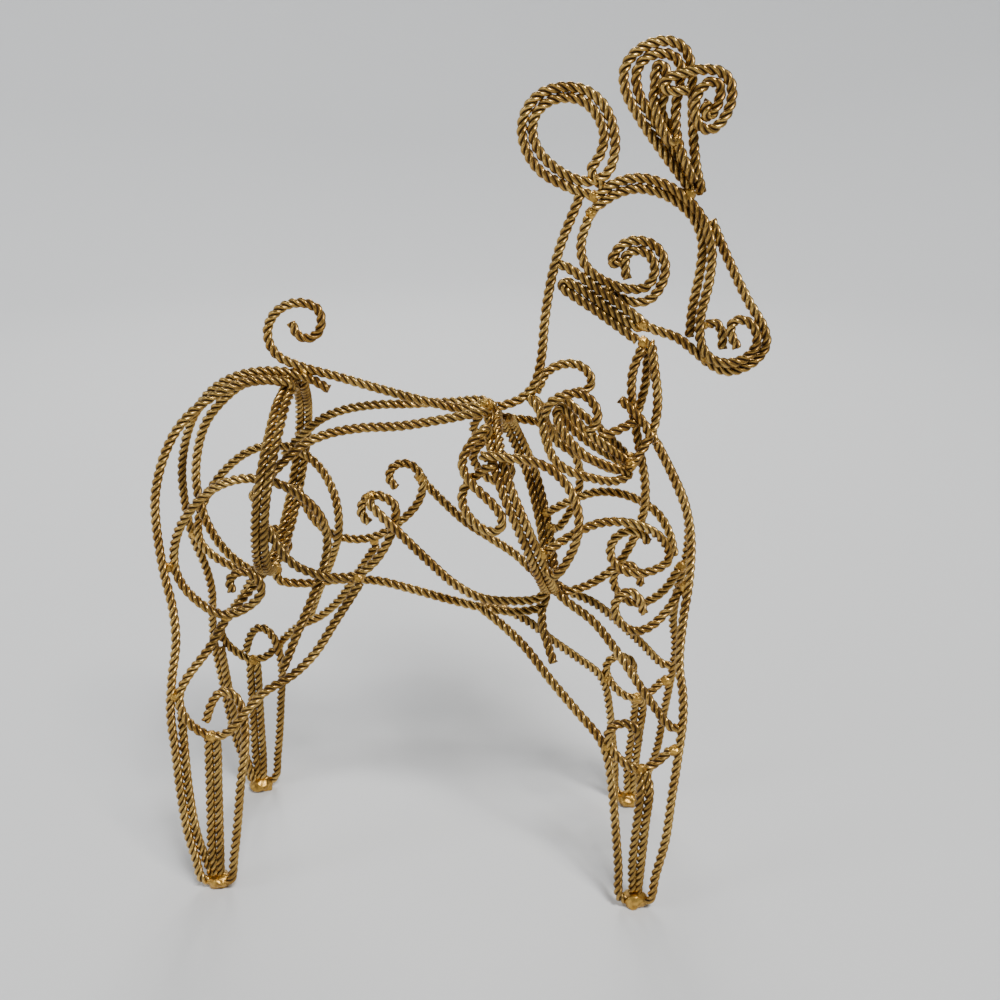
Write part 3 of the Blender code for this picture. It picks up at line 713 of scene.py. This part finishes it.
class ReindeerFigure:
    """The whole figure: twisted wires, solder joints and feet.

    An end that is listed to touch another wire is carried on when it lies between NEAR and REACH from
    that wire's centreline, and then stops at TOUCH from it. A wire that ends in a foot is carried on
    by FOOT_ENTRY of the way to the foot's middle. Each wire's strands are turned WIRE_PHASE radians
    further than those of the wire before it. A joint is JOINT_WIDTH times as wide as it is long.
    """

    FOOT_SIZE = (6.2 * MM, 5.8 * MM, 4.6 * MM)
    FOOT_MIDDLE = 3.0 * MM
    FOOT_ENTRY = 0.55
    FOOT_SEED = 50
    JOINT_WIDTH = 0.85
    WIRE_PHASE = 0.9
    SHORT_WIRE_PHASE = 0.7
    TOUCH = 1.3 * MM
    NEAR = 2.2 * MM
    REACH = 12.0 * MM

    def __init__(self) -> None:
        self.brass = TwistedBrass().material()
        self.solder = BrightSolder().material()
        self.middles: dict[str, list[np.ndarray]] = {}
        self.paths: dict[str, list[np.ndarray]] = {}
        self.foot_places: dict[str, np.ndarray] = {}

    def read_solids(self) -> None:
        """Read every wire's centreline, and where the feet stand."""
        for name in sorted(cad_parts):
            solid = SolidWire(name)
            ends = solid.ends()
            starts = ends if PAIR in name else ends[:1]
            self.middles[name] = [solid.path_from(end) for end in starts]
            LOG.info("%s: %d ends, %s rings", name, len(ends), [len(path) for path in self.middles[name]])
        for name, middles in self.middles.items():
            if PAIR in name:
                place = np.mean([path[path[:, 2].argmin()] for path in middles], axis=0)
                place[2] = self.FOOT_MIDDLE
                self.foot_places[name] = place

    def _into_foot(self, name: str, middles: list[np.ndarray]) -> list[np.ndarray]:
        """The wire's centreline, carried on into its foot where it ends in one."""
        side, _, wire = name.partition("_")
        if PAIR in name:
            foot = self.foot_places[name]
        elif wire in LEG_WIRES:
            foot = self.foot_places[f"{side}_{LEG_WIRES[wire]}"]
        else:
            return middles
        carried = []
        for path in middles:
            path = path if path[-1, 2] < path[0, 2] else path[::-1]
            inner = path[-1] + (foot - path[-1]) * self.FOOT_ENTRY
            inner[2] = self.FOOT_MIDDLE
            carried.append(np.vstack([path, inner]))
        return carried

    def run_ends_on(self) -> None:
        """Carry the listed wires' near ends on to the wires that they touch."""
        reaches = list(CENTRE_REACHES)
        for side in SIDES:
            for wire, target in SIDE_REACHES:
                reaches.append((f"{side}_{wire}", target if target in self.middles else f"{side}_{target}"))
        for name, target in reaches:
            line = np.vstack([smooth_path(path, Twist.step) for path in self.middles[target]])
            self.middles[name] = [
                self._carried(self._carried(path, line)[::-1], line) for path in self.middles[name]
            ]

    def _carried(self, path: np.ndarray, line: np.ndarray) -> np.ndarray:
        """The path with its first end carried on to touch the line, if that end is near it."""
        gaps = line - path[0]
        gap = gaps[np.linalg.norm(gaps, axis=1).argmin()]
        distance = np.linalg.norm(gap)
        if not self.NEAR < distance < self.REACH:
            return path
        return np.vstack([path[0] + gap * (1 - self.TOUCH / distance), path])

    def dress_wires(self) -> None:
        """Replace every solid with its twisted wire, and add the short wires."""
        for number, (name, middles) in enumerate(self.middles.items()):
            self.paths[name] = [smooth_path(path, Twist.step) for path in self._into_foot(name, middles)]
            phase = self.WIRE_PHASE * number
            wire = TwistedWire(f"{name}_twisted", self.paths[name], phase=phase)
            piece = add_piece(wire.name, wire.mesh(), self.brass)
            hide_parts(name)
        for number, (name, points) in enumerate(SHORT_WIRES.items()):
            path = smooth_path(np.array(points, float) * MM, Twist.step)
            wire = TwistedWire(name, [path], phase=self.SHORT_WIRE_PHASE * number)
            add_piece(name, wire.mesh(), self.brass)

    def solder_joints(self) -> None:
        """A lump of solder where each listed pair of wires comes nearest."""
        joints = list(CENTRE_JOINTS)
        for side in SIDES:
            for name, first, second, size in SIDE_JOINTS:
                wires = [wire if wire in self.paths else f"{side}_{wire}" for wire in (first, second)]
                joints.append((f"{side}_{name}", *wires, size))
        for seed, (name, first, second, size) in enumerate(joints):
            target = np.vstack(self.paths[second])
            place = np.mean([nearest_place(path, target) for path in self.paths[first]], axis=0)
            half = size * MM
            joint = SolderJoint(name, place, (half, half * self.JOINT_WIDTH, half), seed)
            add_piece(name, joint.mesh(), self.solder)

    def feet(self) -> None:
        """The solder foot under each leg, flat on the floor."""
        for seed, (name, place) in enumerate(self.foot_places.items()):
            label = name.replace(PAIR, "foot")
            foot = SolderJoint(label, place, self.FOOT_SIZE, seed + self.FOOT_SEED, flat=0.0)
            add_piece(label, foot.mesh(), self.solder)


@dataclass(frozen=True)
class Lamp:
    """An area light that faces the figure's middle."""

    name: str
    place: tuple
    power: float
    size: float
    colour: tuple


class Studio:
    """Pale floor that curves up into a wall, soft lights and the camera at the photograph's place."""

    CAMERA_PLACE = (0.0579, -0.5299, 0.3956)
    CAMERA_YAW = -4.002
    CAMERA_PITCH = 20.665
    FOCAL_SHARE = 1.2
    SENSOR = 36.0
    CLIP_START = 0.01

    WALL_DISTANCE = 2.6
    WALL_HEIGHT = 2.0
    COVE_RADIUS = 1.0
    COVE_STEPS = 16
    COVE_MARGIN = 0.5
    AROUND = 96

    SUN_PLACE = (0.5, -0.9, 1.6)
    SUN_STRENGTH = 2.2
    SUN_ANGLE = 12.0
    LAMPS = (
        Lamp("key", (0.7, -0.8, 1.6), 12.0, 0.3, (1.0, 0.96, 0.88)),
        Lamp("fill", (-1.3, -0.7, 0.9), 5.0, 0.5, (0.95, 0.97, 1.0)),
        Lamp("rim", (-0.2, 1.3, 1.3), 14.0, 0.6, (1.0, 0.98, 0.95)),
    )
    LAMP_AIM = (0.0, 0.0, 0.2)
    SKY_COLOUR = (0.62, 0.66, 0.70, 1)
    SKY_STRENGTH = 0.2

    def floor(self) -> None:
        """A wide pale round floor that curves up into a wall all round."""
        # The flat middle ends before the cove does, which keeps it clear of the cove's smooth shading
        profile = [(self.WALL_DISTANCE - self.COVE_RADIUS - self.COVE_MARGIN, 0.0)]
        for index in range(self.COVE_STEPS + 1):
            angle = pi / 2 * index / self.COVE_STEPS
            out = self.WALL_DISTANCE - self.COVE_RADIUS * (1 - sin(angle))
            profile.append((out, self.COVE_RADIUS * (1 - cos(angle))))
        profile.append((self.WALL_DISTANCE, self.WALL_HEIGHT))
        corners = []
        for out, height in profile:
            for index in range(self.AROUND):
                angle = 2 * pi * index / self.AROUND
                corners.append((out * cos(angle), out * sin(angle), height))
        faces = [tuple(range(self.AROUND))]
        for level in range(len(profile) - 1):
            low = level * self.AROUND
            high = low + self.AROUND
            for index in range(self.AROUND):
                following = (index + 1) % self.AROUND
                faces.append((low + index, low + following, high + following, high + index))
        mesh = bpy.data.meshes.new("floor")
        mesh.from_pydata(corners, [], faces)
        mesh.shade_smooth()
        mesh.polygons[0].use_smooth = False
        mesh.materials.append(PaleFloor().material())
        floor = placed("floor", mesh)

    def lamp(self, lamp: Lamp) -> None:
        """Hang one area light."""
        data = bpy.data.lights.new(lamp.name, "AREA")
        data.energy = lamp.power
        data.size = lamp.size
        data.color = lamp.colour
        hung = placed(lamp.name, data)
        hung.location = lamp.place
        aim = Vector(self.LAMP_AIM) - hung.location
        hung.rotation_euler = aim.to_track_quat("-Z", "Y").to_euler()

    def sun(self) -> None:
        """A distant lamp that lights figure, floor and wall evenly."""
        data = bpy.data.lights.new("sun", "SUN")
        data.energy = self.SUN_STRENGTH
        data.angle = radians(self.SUN_ANGLE)
        hung = placed("sun", data)
        hung.rotation_euler = Vector(self.SUN_PLACE).to_track_quat("Z", "Y").to_euler()

    def lights(self) -> None:
        """A sun from the upper front, a soft key with it, a weaker fill, a rim behind and a dim sky."""
        self.sun()
        for lamp in self.LAMPS:
            self.lamp(lamp)
        world = bpy.data.worlds.new("studio")
        world.use_nodes = True
        sky = world.node_tree.nodes["Background"].inputs
        sky["Color"].default_value = self.SKY_COLOUR
        sky["Strength"].default_value = self.SKY_STRENGTH
        bpy.context.scene.world = world

    def camera(self) -> None:
        """The camera where the photograph was taken from."""
        data = bpy.data.cameras.new("camera")
        data.sensor_width = self.SENSOR
        data.sensor_fit = "HORIZONTAL"
        data.lens = self.SENSOR * self.FOCAL_SHARE
        data.clip_start = self.CLIP_START
        camera = placed("camera", data)
        yaw, pitch = radians(self.CAMERA_YAW), radians(self.CAMERA_PITCH)
        camera.matrix_world = (
            Matrix.Translation(self.CAMERA_PLACE) @ Matrix.Rotation(-yaw, 4, "Z")
            @ Matrix.Rotation(pi / 2 - pitch, 4, "X")
        )
        bpy.context.scene.camera = camera


def main() -> None:
    """Dress the figure and set up the studio."""
    logging.basicConfig(level=logging.INFO)
    studio = Studio()
    studio.camera()
    studio.floor()
    studio.lights()
    figure = ReindeerFigure()
    figure.read_solids()
    figure.run_ends_on()
    figure.dress_wires()
    figure.solder_joints()
    figure.feet()


if __name__ == "__main__":
    main()
